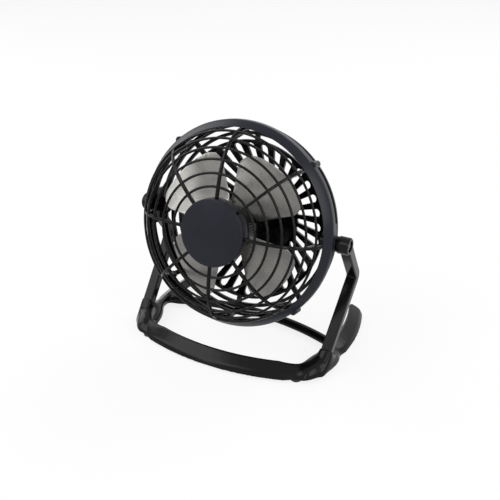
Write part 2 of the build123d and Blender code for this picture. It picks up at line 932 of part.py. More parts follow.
def rear_cover():
    body = rod(cover_radius, cover_back, disc_back)
    body = fillet(body.edges().sort_by(Axis.Z)[0], cover_round)
    body -= rod(cover_radius - cover_wall, cover_back + cover_wall, disc_back + 1)
    post = Pos(0, cover_screw_circle, 0) * rod(cover_post_radius, cover_back, disc_back)
    body += around(post, cover_screw_count)
    seat = cover_back + cover_screw_sink + small_screw_head
    well = rod(small_screw_head_radius + slip_gap, cover_back - 1, seat)
    hole = rod(small_screw_radius + slip_gap, cover_back, disc_back + 1)
    place = Pos(0, cover_screw_circle, 0)
    body -= around(place * well, cover_screw_count)
    body -= around(place * hole, cover_screw_count)
    half_width = switch_width / 2 + slip_gap
    half_height = switch_height / 2 + slip_gap
    body -= back_frame(switch_above) * block(
        (-half_width, -half_height, -2 * cover_wall), (half_width, half_height, cover_wall)
    )
    body -= back_frame(-gland_below) * rod(gland_neck + press_gap, -2 * cover_wall, cover_wall)
    vent = extrude(SlotOverall(vent_length, vent_width, rotation=90), 2 * cover_wall, both=True)
    for n in range(vent_count):
        shorter = 1 - vent_taper * n
        x = vent_first + vent_pitch * n
        one = Pos(x, vent_height, cover_back) * scale(vent, (1, shorter, 1))
        body -= one
        body -= mirror(one, Plane.YZ)
    return body


def cover_screws():
    piece = screw(
        small_screw_radius, small_screw_head_radius, small_screw_head, cover_screw_length
    )
    place = Pos(0, cover_screw_circle, cover_back + cover_screw_sink) * Rot(180, 0, 0)
    return group(around(place * piece, cover_screw_count))


rocker_half_width = switch_width / 2 - switch_wall - moving_gap


def switch_blade(side, margin):
    half = terminal_width / 2 + margin
    thick = terminal_thickness / 2 + margin
    y = side * switch_height / 4
    low = -switch_depth - terminal_length / 2
    high = -switch_depth + switch_wall
    return block((-half, y - thick, low), (half, y + thick, high + margin))


def switch_case():
    half_width = switch_width / 2
    half_height = switch_height / 2
    body = block((-half_width, -half_height, -switch_depth), (half_width, half_height, 0))
    flange = block(
        (-half_width - switch_flange, -half_height - switch_flange, 0),
        (half_width + switch_flange, half_height + switch_flange, switch_flange_thickness),
    )
    flange = fillet(flange.edges().filter_by(Axis.Z), switch_flange)
    rim = flange.faces().sort_by(Axis.Z)[-1].edges()
    flange = chamfer(rim, switch_flange_thickness / 3)
    body += flange
    room = rocker_reach + moving_gap
    inside = rocker_half_width + moving_gap
    floor = -switch_depth + switch_wall
    body -= block((-inside, -room, floor), (inside, room, 2))
    hole = rod(trunnion_radius + running_gap, -half_width, half_width)
    body -= Pos(0, 0, rocker_axis) * Rot(0, 90, 0) * hole
    for side in (-1, 1):
        body -= switch_blade(side, press_gap)
    return back_frame(switch_above) * body


def switch_terminals():
    blades = [switch_blade(side, 0) for side in (-1, 1)]
    return group([back_frame(switch_above) * blade for blade in blades])


# The rocker is drawn level on its own axis, then tipped to its off position.
def switch_rocker():
    outline = make_face(
        Polyline(
            (-rocker_reach, rocker_peak),
            (0, rocker_valley),
            (rocker_reach, rocker_peak),
            (rocker_reach, -rocker_base),
            (-rocker_reach, -rocker_base),
            close=True,
        )
    )
    outline &= Circle(rocker_reach)
    half = rocker_stem / 2
    stem = make_face(
        Polyline(
            (-half, 0),
            (half, 0),
            (half, -rocker_base - rocker_stem_length),
            (-half, -rocker_base - rocker_stem_length),
            close=True,
        )
    )
    body = extrude(Plane.YZ * (outline + stem), rocker_half_width, both=True)
    pin = rocker_half_width + moving_gap + trunnion_length
    body += Rot(0, 90, 0) * rod(trunnion_radius, -pin, pin)
    body = Rot(rocker_throw, 0, 0) * body
    return back_frame(switch_above) * Pos(0, 0, rocker_axis) * body


def cable_gland():
    profile = Polyline(
        (gland_bore, -cover_wall - gland_lip),
        (gland_neck + gland_lip / 2, -cover_wall - gland_lip),
        (gland_neck + gland_lip / 2, -cover_wall),
        (gland_neck, -cover_wall),
        (gland_neck, 0),
        (gland_flange, 0),
        (gland_flange, gland_flange_thickness),
        (gland_bore, gland_flange_thickness),
        close=True,
    )
    body = revolve(Plane.XZ * make_face(profile), Axis.Z)
    body = fillet(body.edges().group_by(Axis.Z)[-1], gland_edge)
    return back_frame(-gland_below) * body


# ---------------------------------------------------------------- fan

# The blade's section where it crosses a plane square to its own middle line.
def blade_section(distance, pitch, margin):
    half = (distance * tan(radians(blade_half_angle)) + 2) / cos(radians(pitch))
    bow = -2 * half * blade_camber
    arc = ThreePointArc((-half, 0), (0, bow), (half, 0))
    plane = Plane(origin=(distance, 0, blade_middle), x_dir=(0, 1, 0), z_dir=(1, 0, 0))
    return plane * Rot(0, 0, pitch) * trace(arc, blade_thickness + 2 * margin)


# The blade seen from the front: a sector with round outer corners.
def blade_outline(margin):
    reach = 2 * blade_radius
    root = hub_radius - blade_bury - margin
    angle = radians(blade_half_angle) + 2 * margin / root
    corner = (reach * cos(angle), reach * sin(angle))
    sector = make_face(Polyline((0, 0), corner, (corner[0], -corner[1]), close=True))
    sector = (sector & Circle(blade_radius)).face()
    tips = [v for v in sector.vertices() if v.X > hub_radius]
    sector = fillet(tips, blade_corner)
    return sector - Circle(root)


# One blade of pressed sheet. With a margin it is the room that the hub leaves for it.
def blade(margin):
    near = blade_section(hub_radius - 3 * hub_wall, blade_root_pitch, margin)
    far = blade_section(blade_radius + 1, blade_tip_pitch, margin)
    sheet = loft([near.face(), far.face()], ruled=True)
    column = extrude(blade_outline(margin), 2 * blade_radius)
    return sheet & (Pos(0, 0, blade_middle - blade_radius) * column)


def fan_blades():
    return group(around(blade(0), blade_count, blade_heading))


def fan_hub():
    hub = rod(hub_radius, hub_back, hub_front)
    hub = fillet(hub.edges().sort_by(Axis.Z)[-1], hub_edge)
    hub -= rod(hub_radius - hub_wall, hub_back - 1, hub_front - hub_wall)
    hub -= around(blade(press_gap), blade_count, blade_heading)
    hub += rod(hub_boss_radius, hub_boss_back, hub_front - hub_wall / 2)
    return hub - rod(shaft_radius + press_gap, hub_boss_back - 1, shaft_front + slip_gap)


# ---------------------------------------------------------------- output

still_parts = {
    "base_loop": base_loop,
    "foot_pads": foot_pads,
    "arm_left": arm_left,
    "arm_right": arm_right,
    "arm_screws": arm_screws,
    "pivot_screws": pivot_screws,
    "pivot_washers": pivot_washers,
}

head_parts = {
    "front_grille": front_grille,
    "hub_cap": hub_cap,
    "grille_screws": grille_screws,
    "rear_housing": rear_housing,
    "rear_cover": rear_cover,
    "cover_screws": cover_screws,
    "cable_gland": cable_gland,
    "switch_case": switch_case,
    "switch_terminals": switch_terminals,
    "switch_rocker": switch_rocker,
    "fan_hub": fan_hub,
    "fan_blades": fan_blades,
    "motor_shaft": motor_shaft,
    "motor_can": motor_can,
    "motor_magnets": motor_magnets,
    "motor_bushings": motor_bushings,
    "motor_end_bell": motor_end_bell,
    "motor_terminals": motor_terminals,
    "motor_brushes": motor_brushes,
    "motor_screws": motor_screws,
    "armature_core": armature_core,
    "armature_windings": armature_windings,
    "commutator": commutator,
}

os.makedirs("parts", exist_ok=True)
for name, make in still_parts.items():
    export_step(make(), f"parts/{name}.step")
for name, make in head_parts.items():
    export_step(head_frame(make()), f"parts/{name}.step")
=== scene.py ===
import json
import math

import bpy
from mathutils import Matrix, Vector


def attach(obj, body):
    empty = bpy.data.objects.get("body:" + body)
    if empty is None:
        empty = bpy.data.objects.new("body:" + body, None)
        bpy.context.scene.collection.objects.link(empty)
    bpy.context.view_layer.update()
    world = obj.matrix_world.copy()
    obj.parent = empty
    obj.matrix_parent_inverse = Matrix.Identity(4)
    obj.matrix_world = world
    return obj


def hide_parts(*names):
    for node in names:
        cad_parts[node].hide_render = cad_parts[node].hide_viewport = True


# Desk fan: a caged head that tilts between two arms on an open base. Blender works in metres,
# and mm() turns the millimetres of the pieces' dictionaries into them. The head's pieces are
# drawn with the fan's shaft along Z and the tilt axis along X, then swung onto the stand.

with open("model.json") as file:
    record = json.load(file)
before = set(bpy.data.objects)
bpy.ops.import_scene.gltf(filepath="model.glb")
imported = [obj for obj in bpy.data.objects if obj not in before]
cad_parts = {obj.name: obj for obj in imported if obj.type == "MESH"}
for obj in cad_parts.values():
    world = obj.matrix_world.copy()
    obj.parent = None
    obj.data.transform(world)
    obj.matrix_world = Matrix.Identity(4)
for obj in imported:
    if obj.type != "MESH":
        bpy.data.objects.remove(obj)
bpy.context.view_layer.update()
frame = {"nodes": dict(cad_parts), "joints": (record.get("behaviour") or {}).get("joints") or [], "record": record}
tiltJoint = next(joint for joint in frame["joints"] if joint["name"] == "head_tilt")


def mm(value):
    return value / 1000


def inMm(value):
    return value * 1000


def linearColour(code):
    # sRGB hex to the linear values that the shader wants
    parts = [int(code[i:i + 2], 16) / 255 for i in (1, 3, 5)]
    parts = [p / 12.92 if p <= 0.04045 else ((p + 0.055) / 1.055) ** 2.4 for p in parts]
    return (*parts, 1.0)


def addNode(owner, kind, inputs=None, **settings):
    # inputs: socket name or number, with a value or another node's output
    tree = owner.node_tree
    node = tree.nodes.new("ShaderNode" + kind)
    for key, value in settings.items():
        setattr(node, key, value)
    for key, value in (inputs or {}).items():
        if isinstance(value, bpy.types.NodeSocket):
            tree.links.new(value, node.inputs[key])
        else:
            node.inputs[key].default_value = value
    return node


# Camera and studio, in metres

studio = {
    "cameraPlace": (0.2405, -0.4574, 0.3382),
    "cameraAim": (0.005826, -0.004934, 0.068396),
    "lens": 60.57,            # in millimetres, like the sensor's width
    "sensor": 36,
    "nearest": 0.01,          # closer than this the camera sees nothing
    "floorHalf": 9.0,
    "floorColour": "#f4f4f4",
    "floorLift": 0.82,        # share of plain white in the floor, seen directly or in a reflection
    "ambient": 0.4,           # light from all round
    "ambientColour": "#ffffff",
    # name, place, aim, width, height, watts
    "lamps": [
        ("keyLamp", (-0.75, -0.75, 0.95), (0, 0, 0.08), 1.0, 1.0, 8.0),
        ("fillLamp", (0.95, -0.35, 0.70), (0, 0, 0.08), 0.5, 0.9, 4.0),
        ("backLamp", (0.35, 0.95, 0.85), (0, 0, 0.08), 0.9, 0.5, 6.0),
        ("stripLamp", (0.55, -0.95, 0.55), (0, 0, 0.09), 0.1, 1.1, 2.5),
        ("sideLamp", (-1.0, 0.15, 0.7), (0, 0, 0.08), 0.6, 0.9, 4.0),
    ],
}


def aimAt(thing, target):
    heading = Vector(target) - thing.location
    thing.rotation_euler = heading.to_track_quat("-Z", "Y").to_euler()


def deselectAll():
    if bpy.context.object and bpy.context.object.mode != "OBJECT":
        bpy.ops.object.mode_set(mode="OBJECT")
    bpy.ops.object.select_all(action="DESELECT")


def seenDirectly(owner):
    # 1 for what the camera sees itself, in a reflection or through glass
    path = addNode(owner, "LightPath")
    seen = addNode(owner, "Math", {
        0: path.outputs["Is Camera Ray"], 1: path.outputs["Is Glossy Ray"]}, operation="MAXIMUM")
    seen = addNode(owner, "Math", {
        0: seen.outputs[0], 1: path.outputs["Is Transmission Ray"]}, operation="MAXIMUM")
    return seen.outputs[0]


def addCamera():
    deselectAll()
    bpy.ops.object.camera_add(location=studio["cameraPlace"])
    camera = bpy.context.object
    camera.name = "fanCamera"
    aimAt(camera, studio["cameraAim"])
    camera.data.sensor_width = studio["sensor"]
    camera.data.lens = studio["lens"]
    camera.data.clip_start = studio["nearest"]
    bpy.context.scene.camera = camera


def addLamps():
    for name, place, aim, width, height, watts in studio["lamps"]:
        bpy.ops.object.light_add(type="AREA", location=place)
        lamp = bpy.context.object
        lamp.name = name
        aimAt(lamp, aim)
        lamp.data.shape = "RECTANGLE"
        lamp.data.size = width
        lamp.data.size_y = height
        lamp.data.energy = watts


def addFloor():
    bpy.ops.mesh.primitive_plane_add(size=2 * studio["floorHalf"])
    floor = bpy.context.object
    floor.name = "studioFloor"

    # pale matte paper that is partly plain white to whatever sees it directly
    paper = bpy.data.materials.new("floorPaper")
    paper.use_nodes = True
    paper.node_tree.nodes.clear()
    share = addNode(paper, "Math", {
        0: seenDirectly(paper), 1: studio["floorLift"]}, operation="MULTIPLY")
    matte = addNode(paper, "BsdfDiffuse", {"Color": linearColour(studio["floorColour"])})
    white = addNode(paper, "Emission", {"Strength": 1.0})
    mixed = addNode(paper, "MixShader", {
        0: share.outputs[0], 1: matte.outputs[0], 2: white.outputs[0]})
    addNode(paper, "OutputMaterial", {"Surface": mixed.outputs[0]})
    floor.data.materials.append(paper)


def addWorld():
    # soft light from all round, and plain white for whatever sees it directly
    world = bpy.data.worlds.new("studioRoom")
    bpy.context.scene.world = world
    world.use_nodes = True
    world.node_tree.nodes.clear()
    colour = linearColour(studio["ambientColour"])
    soft = addNode(world, "Background", {"Color": colour, "Strength": studio["ambient"]})
    white = addNode(world, "Background", {"Color": colour, "Strength": 1.0})
    mixed = addNode(world, "MixShader", {
        0: seenDirectly(world), 1: soft.outputs[0], 2: white.outputs[0]})
    addNode(world, "OutputWorld", {"Surface": mixed.outputs[0]})
    bpy.context.scene.view_settings.view_transform = "Standard"


addCamera()
addLamps()
addFloor()
addWorld()
print("studio ready")


# Materials. Sizes are in millimetres, and a pattern's scale is one over its size. Grain and
# streaks are drawn coarser than the real ones, which are too fine to show.

# how many times finer noise is added to each pattern
noiseDetail = {"flow": 3.0, "wave": 1.0, "grain": 2.0, "streak": 3.0, "cloud": 2.0}
noiseLow, noiseHigh = 0.3, 0.7   # most of a noise lies between these


def startMaterial(name):
    material = bpy.data.materials.new(name)
    material.use_nodes = True
    material.node_tree.nodes.clear()
    return material, addNode(material, "TexCoord").outputs["Object"]


def closeMaterial(material, sockets):
    shader = addNode(material, "BsdfPrincipled", sockets)
    addNode(material, "OutputMaterial", {"Surface": shader.outputs[0]})
    return material


def mouldedPlastic(name, look):
    # cloudy flow of the melt in colour and gloss, a slow waviness and the mould's own grain
    material, place = startMaterial(name)
    flow, wave, grain = [addNode(material, "TexNoise", {
        "Vector": place, "Scale": 1 / mm(look[key]), "Detail": noiseDetail[key],
    }).outputs[0] for key in ("flow", "wave", "grain")]
    share, gloss = [addNode(material, "MapRange", {
        0: flow, 1: noiseLow, 2: noiseHigh, 3: low, 4: high,
    }).outputs[0] for low, high in ((0, 1), look["gloss"])]
    tone = addNode(material, "Mix", {
        0: share, 6: linearColour(look["dark"]), 7: linearColour(look["light"])}, data_type="RGBA")
    slow = addNode(material, "Bump", {
        "Height": wave, "Strength": 1.0, "Distance": mm(look["waveHeight"])})
    fine = addNode(material, "Bump", {
        "Height": grain, "Strength": 1.0, "Distance": mm(look["grainHeight"]),
        "Normal": slow.outputs[0]})
    return closeMaterial(material, {
        "Base Color": tone.outputs[2], "Roughness": gloss, "Normal": fine.outputs[0],
        "IOR": look["ior"], "Metallic": 0.0, "Specular IOR Level": look["specular"]})


def workedMetal(name, look):
    # streaks along one direction from rolling, drawing or heading, and a cloudy colour
    material, place = startMaterial(name)
    turned = addNode(material, "Mapping", {"Vector": place, "Scale": look["stretch"]}).outputs[0]
    streak, cloud = [addNode(material, "TexNoise", {
        "Vector": where, "Scale": 1 / mm(look[key]), "Detail": noiseDetail[key],
    }).outputs[0] for key, where in (("streak", turned), ("cloud", place))]
    share, gloss = [addNode(material, "MapRange", {
        0: source, 1: noiseLow, 2: noiseHigh, 3: low, 4: high,
    }).outputs[0] for source, (low, high) in ((cloud, (0, 1)), (streak, look["gloss"]))]
    tone = addNode(material, "Mix", {
        0: share, 6: linearColour(look["dark"]), 7: linearColour(look["light"])}, data_type="RGBA")
    sockets = {"Base Color": tone.outputs[2], "Roughness": gloss, "Metallic": 1.0}
    if look["height"] > 0:
        relief = addNode(material, "Bump", {
            "Height": streak, "Strength": 1.0, "Distance": mm(look["height"])})
        sockets["Normal"] = relief.outputs[0]
    return closeMaterial(material, sockets)


# ABS moulded against a polished mould: deep black with clear, slightly wavy reflections
glossAbs = mouldedPlastic("absMouldedGloss", {
    "dark": "#060607", "light": "#0a0a0b", "ior": 1.5, "specular": 0.16, "gloss": (0.12, 0.2),
    "flow": 22, "wave": 9, "waveHeight": 0.02, "grain": 0.6, "grainHeight": 0.0012,
})
# ABS moulded against a spark-eroded mould: blue-black, satin, with a fine even grain
satinAbs = mouldedPlastic("absMouldedSatin", {
    "dark": "#10121a", "light": "#151722", "ior": 1.54, "specular": 0.2, "gloss": (0.26, 0.34),
    "flow": 26, "wave": 12, "waveHeight": 0.02, "grain": 0.5, "grainHeight": 0.006,
})
# nylon moulded in a plain steel mould: dull black of switches and motor caps
switchNylon = mouldedPlastic("nylonMoulded", {
    "dark": "#101012", "light": "#17171a", "ior": 1.53, "specular": 0.5, "gloss": (0.42, 0.55),
    "flow": 8, "wave": 5, "waveHeight": 0.01, "grain": 0.4, "grainHeight": 0.006,
})
# rubber pressed in a mould: matte, faintly grey with bloom
footRubber = mouldedPlastic("rubberMoulded", {
    "dark": "#0f0f0f", "light": "#1a1a1a", "ior": 1.52, "specular": 0.5, "gloss": (0.62, 0.78),
    "flow": 3, "wave": 2.5, "waveHeight": 0.02, "grain": 0.35, "grainHeight": 0.01,
})
# ferrite pressed and sintered: dark, fine-grained, almost without gloss
magnetFerrite = mouldedPlastic("ferriteSintered", {
    "dark": "#252322", "light": "#35322f", "ior": 2.0, "specular": 0.5, "gloss": (0.6, 0.75),
    "flow": 4, "wave": 3, "waveHeight": 0.01, "grain": 0.3, "grainHeight": 0.012,
})
# aluminium sheet, cold rolled between polished rolls: even satin, streaks only in its gloss
bladeAluminium = workedMetal("aluminiumRolled", {
    "dark": "#7d7c7a", "light": "#94928e", "gloss": (0.25, 0.34),
    "stretch": (1, 6, 1), "streak": 6, "cloud": 22, "height": 0,
})
# steel screws, cold headed and zinc plated: bluish white, a little cloudy
zincSteel = workedMetal("steelZincPlated", {
    "dark": "#a3a6ab", "light": "#c2c5ca", "gloss": (0.26, 0.4),
    "stretch": (1, 1, 1), "streak": 0.6, "cloud": 2, "height": 0.004,
})
# steel of the motor, deep drawn and ground: grey with lines along the drawing
drawnSteel = workedMetal("steelDrawn", {
    "dark": "#8d8d8c", "light": "#aaaaa8", "gloss": (0.25, 0.4),
    "stretch": (6, 1, 6), "streak": 1.2, "cloud": 6, "height": 0.004,
})
# brass strip, rolled and stamped: yellow with a light tarnish
stampedBrass = workedMetal("brassStamped", {
    "dark": "#a68442", "light": "#c8a559", "gloss": (0.24, 0.4),
    "stretch": (1, 6, 1), "streak": 0.8, "cloud": 3, "height": 0.003,
})
# copper wire with baked enamel, wound in layers: reddish, in ridges that follow the turns
woundCopper = workedMetal("copperEnamelled", {
    "dark": "#8f3f1c", "light": "#b8622f", "gloss": (0.2, 0.34),
    "stretch": (1, 9, 1), "streak": 0.9, "cloud": 2, "height": 0.02,
})

slotMaterials = {
    "black_plastic": glossAbs,
    "slate_plastic": satinAbs,
    "blade_aluminium": bladeAluminium,
    "foot_rubber": footRubber,
    "screw_steel": zincSteel,
    "motor_steel": drawnSteel,
    "magnet_ferrite": magnetFerrite,
    "copper_wire": woundCopper,
    "brass_contact": stampedBrass,
    "switch_plastic": switchNylon,
}

nodeSlots = {part["node"]: part["material_slot"] for part in frame["record"]["subparts"]}
for node, slot in nodeSlots.items():
    shape = frame["nodes"][node]
    material = slotMaterials[slot]
    if not shape.material_slots:
        shape.data.materials.append(material)
    for place in shape.material_slots:
        place.material = material
print("materials ready")


# Modelling helpers

mergeDistance = mm(0.002)


def pick(piece):
    deselectAll()
    bpy.context.view_layer.objects.active = piece
    piece.select_set(True)


def applyPlace():
    bpy.ops.object.transform_apply(location=True, rotation=True, scale=True)


def applyModifier(piece, kind, **settings):
    pick(piece)
    modifier = piece.modifiers.new("shaping", kind)
    for key, value in settings.items():
        setattr(modifier, key, value)
    bpy.ops.object.modifier_apply(modifier=modifier.name)


def editAll():
    bpy.ops.object.mode_set(mode="EDIT")
    bpy.ops.mesh.select_all(action="SELECT")


def mergeAll():
    bpy.ops.mesh.select_all(action="SELECT")
    bpy.ops.mesh.remove_doubles(threshold=mergeDistance)


def mergeAndTurnOut():
    mergeAll()
    bpy.ops.mesh.normals_make_consistent(inside=False)


def startPoint(name, place):
    # a lone vertex at its place, in edit mode, to draw a profile from
    deselectAll()
    bpy.ops.mesh.primitive_plane_add(size=mm(1), location=[mm(value) for value in place])
    piece = bpy.context.object
    piece.name = name
    applyPlace()
    editAll()
    bpy.ops.mesh.merge(type="CENTER")
    return piece


def drawThrough(points):
    # extrudes the selected vertex from the first point to each next one
    for here, there in zip(points, points[1:]):
        step = [mm(b - a) for a, b in zip(here, there)]
        bpy.ops.mesh.extrude_vertices_move(TRANSFORM_OT_translate={"value": step})


def profileOf(name, points):
    # points of (radius, height), drawn in the XZ plane
    line = [(radius, 0, height) for radius, height in points]
    piece = startPoint(name, line[0])
    drawThrough(line)
    return piece


def arcPoints(radius, angles):
    return [(radius * math.cos(angle), radius * math.sin(angle)) for angle in angles]


def spinRound(steps):
    mergeAll()
    bpy.ops.mesh.select_all(action="SELECT")
    bpy.ops.mesh.spin(steps=steps, angle=2 * math.pi, center=(0, 0, 0), axis=(0, 0, 1))
    mergeAndTurnOut()
    bpy.ops.object.mode_set(mode="OBJECT")


def roundEdges(piece, width, segments=2, angle=35):
    applyModifier(
        piece, "BEVEL", width=mm(width), segments=segments,
        limit_method="ANGLE", angle_limit=math.radians(angle))
    bpy.ops.object.shade_smooth_by_angle(angle=math.radians(angle))


def joinAll(pieces, name):
    deselectAll()
    for piece in pieces:
        piece.select_set(True)
    bpy.context.view_layer.objects.active = pieces[0]
    applyPlace()
    bpy.ops.object.join()
    joined = bpy.context.object
    joined.name = name
    return joined


def swingRound(piece, count, first=0.0):
    # copies a piece round the shaft, each with its own mesh, and joins them
    copies = [piece]
    for n in range(1, count):
        pick(piece)
        bpy.ops.object.duplicate(linked=False)
        copies.append(bpy.context.object)
    for n, copy in enumerate(copies):
        copy.rotation_euler = (0, 0, math.radians(first + 360 * n / count))
    return joinAll(copies, piece.name)


head = {
    "tilt": 14.0,             # degrees it looks up
    "pivot": tuple(tiltJoint["pos_m"]),   # in metres, as the frame gives it
}


def ontoStand(piece):
    # from the head's own frame to where the head stands
    pick(piece)
    piece.rotation_euler = (math.radians(90 - head["tilt"]), 0, 0)
    piece.location = head["pivot"]
    applyPlace()


def finishPiece(piece, body, slot, node):
    # what isn't part of the stand was drawn in the head's own frame
    if body != "stand":
        ontoStand(piece)
    piece.data.materials.clear()
    piece.data.materials.append(slotMaterials[slot])
    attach(piece, body)
    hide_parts(node)


# Base: one moulding whose bars swell softly round the feet of the arms

base = {
    "voxel": 0.55,
    "smoothing": 14,          # passes over all of it
    "meltSmoothing": 200,     # more passes round the feet of the arms
    "smoothFactor": 0.5,
    # the swell at the foot of the right arm: place of its middle, half sizes
    "swellPlace": (67.6, -23.5, 2.0),
    "swellHalf": (9.2, 21.0, 10.0),
    "swellTurn": 17.0,        # degrees, along the bar
    "swellBottom": 1.5,       # height at which it is cut off
    "swellSides": 48,
    "meltReach": 28.0,        # from the swell's middle to where the extra smoothing ends
    "meltFade": 4,            # the higher, the later it fades
}


def makeSwell(side):
    # a flattened ball, cut off level with the underside of the bars
    across, along, up = [mm(value) for value in base["swellPlace"]]
    deselectAll()
    bpy.ops.mesh.primitive_uv_sphere_add(
        segments=base["swellSides"], ring_count=base["swellSides"] // 2, radius=mm(1),
        location=(side * across, along, up),
        rotation=(0, 0, -side * math.radians(base["swellTurn"])))
    swell = bpy.context.object
    swell.name = "armSwell"
    swell.scale = base["swellHalf"]
    applyPlace()
    editAll()
    bpy.ops.mesh.bisect(
        plane_co=(0, 0, mm(base["swellBottom"])), plane_no=(0, 0, 1),
        clear_inner=True, use_fill=True)
    mergeAndTurnOut()
    bpy.ops.object.mode_set(mode="OBJECT")
    return swell


def makeBase():
    pick(frame["nodes"]["base_loop"])
    bpy.ops.object.duplicate(linked=False)
    shell = bpy.context.object
    bpy.ops.object.mode_set(mode="EDIT")
    mergeAndTurnOut()
    bpy.ops.object.mode_set(mode="OBJECT")
    shell = joinAll([shell, makeSwell(1), makeSwell(-1)], "base_shell")
    applyModifier(shell, "REMESH", mode="VOXEL", voxel_size=mm(base["voxel"]))
    applyModifier(shell, "SMOOTH", factor=base["smoothFactor"], iterations=base["smoothing"])

    # the socket walls melt into the swell
    near = shell.vertex_groups.new(name="armFeet")
    across, along, up = [mm(value) for value in base["swellPlace"]]
    for vertex in shell.data.vertices:
        middle = Vector((math.copysign(across, vertex.co.x), along, up))
        share = (vertex.co - middle).length / mm(base["meltReach"])
        if share < 1:
            near.add([vertex.index], 1 - share ** base["meltFade"], "REPLACE")
    applyModifier(
        shell, "SMOOTH", factor=base["smoothFactor"], iterations=base["meltSmoothing"],
        vertex_group=near.name)
    shell.vertex_groups.clear()
    bpy.ops.object.shade_smooth()
    return shell


finishPiece(makeBase(), "stand", "black_plastic", "base_loop")
print("base done")


# Front grille. Heights are along the shaft, from the tilt axis.

bezel = {
    "radius": 70.0,
    "opening": 65.3,
    "edge": 11.5,             # height of its outer edge
    "front": 17.0,            # height of its inner edge
    "back": 6.4,
    "wall": 2.77,             # measured along the shaft
    "skirtInner": 68.15,
    "round": 0.7,
    "steps": 144,
    "lugs": 4,
    "lugHeading": 45.0,       # degrees round the shaft, of the first lug
    "lugCircle": 69.3,
    "lugRadius": 2.4,
    "lugBack": 6.5,
    "lugFront": 10.9,
    "lugRound": 0.8,
    "lugSides": 32,
}


def bezelHeight(radius):
    slope = (bezel["front"] - bezel["edge"]) / (bezel["radius"] - bezel["opening"])
    return bezel["edge"] + slope * (bezel["radius"] - radius)


def makeBezel():
    b = bezel
    ring = profileOf("grille_bezel", [
        (b["radius"], b["back"]),
        (b["radius"], b["edge"]),
        (b["opening"], b["front"]),
        (b["opening"], b["front"] - b["wall"]),
        (b["skirtInner"], bezelHeight(b["skirtInner"]) - b["wall"]),
        (b["skirtInner"], b["back"]),
        (b["radius"], b["back"]),
    ])
    spinRound(b["steps"])
    roundEdges(ring, b["round"], 3)

    # one lug, cut through the middle of the skirt so that its outer side stands out
    deselectAll()
    bpy.ops.mesh.primitive_cylinder_add(
        vertices=b["lugSides"], radius=mm(b["lugRadius"]), depth=mm(b["lugFront"] - b["lugBack"]),
        location=(mm(b["lugCircle"]), 0, mm((b["lugFront"] + b["lugBack"]) / 2)))
    lug = bpy.context.object
    lug.name = "grilleLugs"
    applyPlace()
    editAll()
    wallMiddle = mm((b["skirtInner"] + b["radius"]) / 2)
    bpy.ops.mesh.bisect(
        plane_co=(wallMiddle, 0, 0), plane_no=(1, 0, 0), clear_inner=True, use_fill=True)
    mergeAndTurnOut()
    bpy.ops.object.mode_set(mode="OBJECT")
    roundEdges(lug, b["lugRound"], 3)
    lugs = swingRound(lug, b["lugs"], b["lugHeading"])
    return joinAll([ring, lugs], "grille_bezel")


# the dome that the rings and the spokes follow
dome = {
    "foot": 17.3,
    "rise": 24.67,
    "radius": 65.6,
    "flatness": 4.84,         # the higher, the flatter its middle
    "shoulder": 1.38,         # the higher, the fuller its rim
}


def domeHeight(radius):
    share = 1 - (radius / dome["radius"]) ** dome["flatness"]
    return dome["foot"] + dome["rise"] * max(share, 0) ** (1 / dome["shoulder"])


rings = {
    "radii": [29.5, 37.9, 46.5, 53.5, 59.0, 63.3],
    "wire": 1.7,
    "wireSides": 14,
    "smoothAngle": 60,
    "steps": 144,
}


def makeRings():
    hoops = []
    for radius in rings["radii"]:
        deselectAll()
        height = domeHeight(radius) - rings["wire"] / 2
        bpy.ops.mesh.primitive_circle_add(
            vertices=rings["wireSides"], radius=mm(rings["wire"] / 2),
            location=(mm(radius), 0, mm(height)), rotation=(math.radians(90), 0, 0))
        hoop = bpy.context.object
        hoop.name = "hoop"
        applyPlace()
        bpy.ops.object.mode_set(mode="EDIT")
        spinRound(rings["steps"])
        bpy.ops.object.shade_smooth_by_angle(angle=math.radians(rings["smoothAngle"]))
        hoops.append(hoop)
    return joinAll(hoops, "grille_rings")


boss = {
    "radius": 22.1,
    "back": 35.6,
    "front": 42.6,
    "wall": 1.6,
    "round": 0.5,
    "steps": 96,
}


def makeBoss():
    b = boss
    inner = b["radius"] - b["wall"]
    floor = b["back"] + b["wall"]
    cup = profileOf("grille_boss", [
        (0, b["back"]), (b["radius"], b["back"]), (b["radius"], b["front"]),
        (inner, b["front"]), (inner, floor), (0, floor)])
    spinRound(b["steps"])
    roundEdges(cup, b["round"], 3)
    return cup


spokes = {
    "count": 8,
    "width": 2.0,
    "depth": 2.4,
    "round": 0.45,
    "parts": 16,              # pieces of the crest's line, shorter towards the rim
    "sweep": 0.48,            # half turns of the sine that sets them out
    "webStart": 57.5,         # from here out the spoke reaches down to the bezel's back
    "webOuter": 65.05,
    "webFoot": 2.6,
    "webSink": 1.4,           # below the bezel's face
}


def makeSpokes():
    s = spokes
    first = boss["radius"] - boss["wall"] / 2
    span = dome["radius"] - first
    shares = [math.sin(s["sweep"] * math.pi * n / s["parts"]) for n in range(s["parts"] + 1)]
    crest = [(first + span * share, domeHeight(first + span * share)) for share in shares]
    under = [(radius, height - s["depth"]) for radius, height in crest if radius < s["webStart"]]
    web = [
        (s["webOuter"], bezelHeight(s["webOuter"]) - s["webSink"]),
        (s["webOuter"], bezel["back"]),
        (s["webOuter"] - s["webFoot"], bezel["back"]),
    ]
    spoke = profileOf("grille_spokes", crest + web + under[::-1] + crest[:1])
    mergeAll()
    bpy.ops.mesh.edge_face_add()
    bpy.ops.transform.translate(value=(0, mm(-s["width"] / 2), 0))
    bpy.ops.mesh.extrude_region_move(TRANSFORM_OT_translate={"value": (0, mm(s["width"]), 0)})
    mergeAndTurnOut()
    bpy.ops.object.mode_set(mode="OBJECT")
    roundEdges(spoke, s["round"])
    return swingRound(spoke, s["count"])


